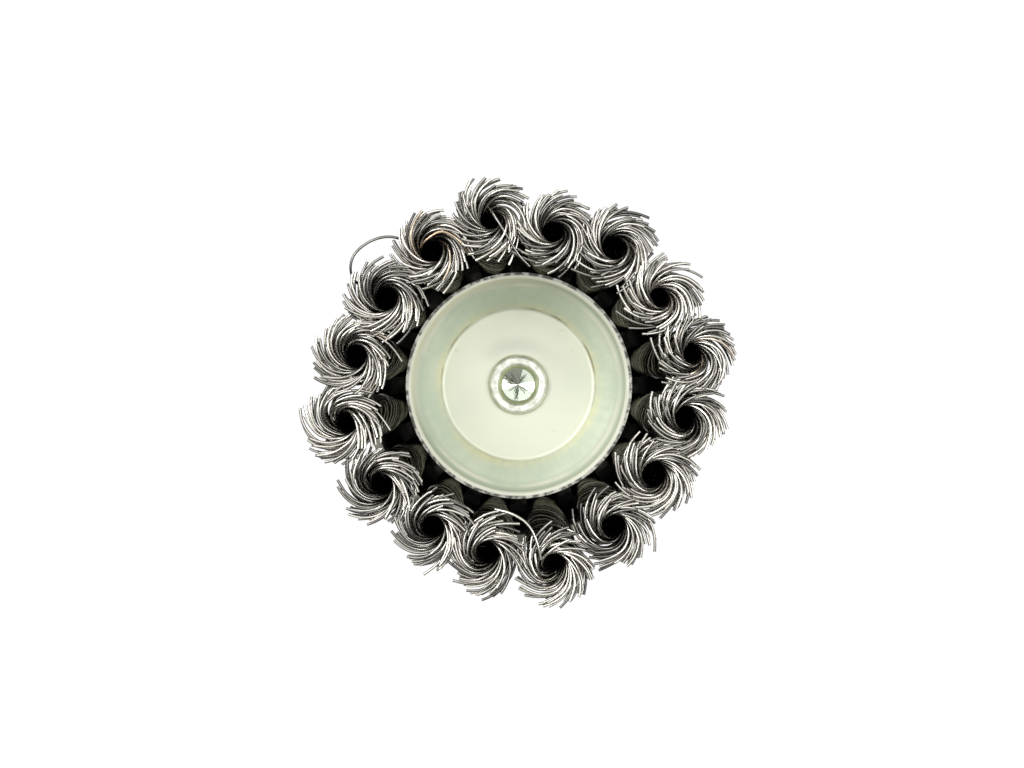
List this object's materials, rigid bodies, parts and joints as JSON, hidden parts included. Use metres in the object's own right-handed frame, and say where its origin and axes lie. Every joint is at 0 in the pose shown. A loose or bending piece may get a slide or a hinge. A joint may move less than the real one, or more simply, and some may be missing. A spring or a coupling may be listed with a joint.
{
  "type": "wire cup brush",
  "caption": "Knotted wire cup brush: a ring of twisted, flared wire knots between an outer and an inner cup, on a hexagonal arbor nut.",
  "frame": {"origin": "middle of the arbor nut's free end face, on the axis of rotation", "axes": "+Z along the axis of rotation, from the nut to the wire tips; +X and +Y square to it, with two flats of the nut square to Y"},
  "size_m": [0.0718, 0.0718, 0.058],
  "materials": {
    "cup_zinc": "satin, zinc plated with a pale greenish passivation",
    "nut_zinc": "machined and zinc plated, polished in the rivet's recess",
    "plate_steel": "plain blanked steel",
    "knot_wire": "hard drawn steel wire, darkened, with bright cut ends"
  },
  "bodies": {
    "root": {"arbor_nut": "nut_zinc", "outer_cup": "cup_zinc", "knot_plate": "plate_steel", "inner_cup": "cup_zinc", "wire_knot_01": "knot_wire", "wire_knot_02": "knot_wire", "wire_knot_03": "knot_wire", "wire_knot_04": "knot_wire", "wire_knot_05": "knot_wire", "wire_knot_06": "knot_wire", "wire_knot_07": "knot_wire", "wire_knot_08": "knot_wire", "wire_knot_09": "knot_wire", "wire_knot_10": "knot_wire", "wire_knot_11": "knot_wire", "wire_knot_12": "knot_wire", "wire_knot_13": "knot_wire", "wire_knot_14": "knot_wire", "wire_knot_15": "knot_wire", "wire_knot_16": "knot_wire"}
  },
  "joints": []
}
